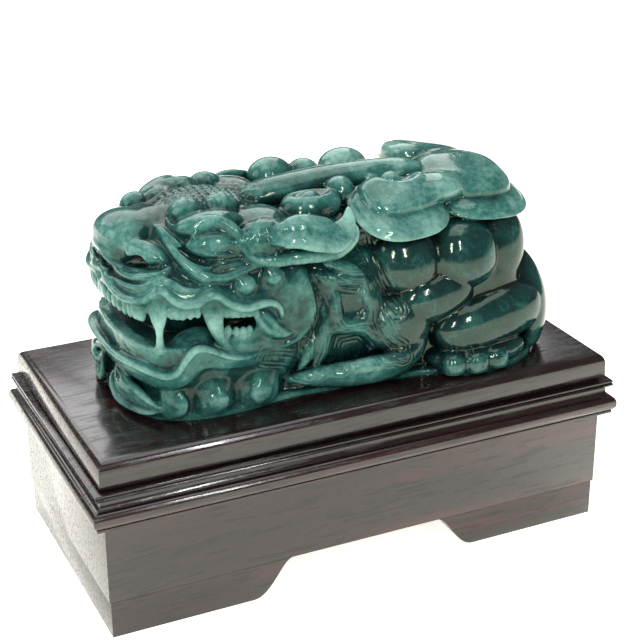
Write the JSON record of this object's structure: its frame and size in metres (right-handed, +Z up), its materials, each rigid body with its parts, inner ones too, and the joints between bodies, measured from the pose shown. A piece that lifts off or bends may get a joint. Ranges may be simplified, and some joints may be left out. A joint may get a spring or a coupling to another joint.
{
  "type": "jade pixiu carving",
  "caption": "Crouching winged beast carved from one jade stone, with open fanged mouth and a ruyi sceptre along its back, on a moulded rosewood stand with two feet.",
  "frame": {"origin": "on the floor, under the middle of the stand", "axes": "+X along the stand from the beast's head to its rump, +Y away from the side that the picture shows, +Z up"},
  "size_m": [0.143, 0.075, 0.0981],
  "materials": {
    "jade": "polished deep green jade with fine mottling",
    "lacquered_wood": "glossy dark rosewood, rubbed on its edges"
  },
  "bodies": {
    "root": {"jade_pixiu": "jade", "stand_block": "lacquered_wood", "foot_left": "lacquered_wood", "foot_right": "lacquered_wood"}
  },
  "joints": []
}
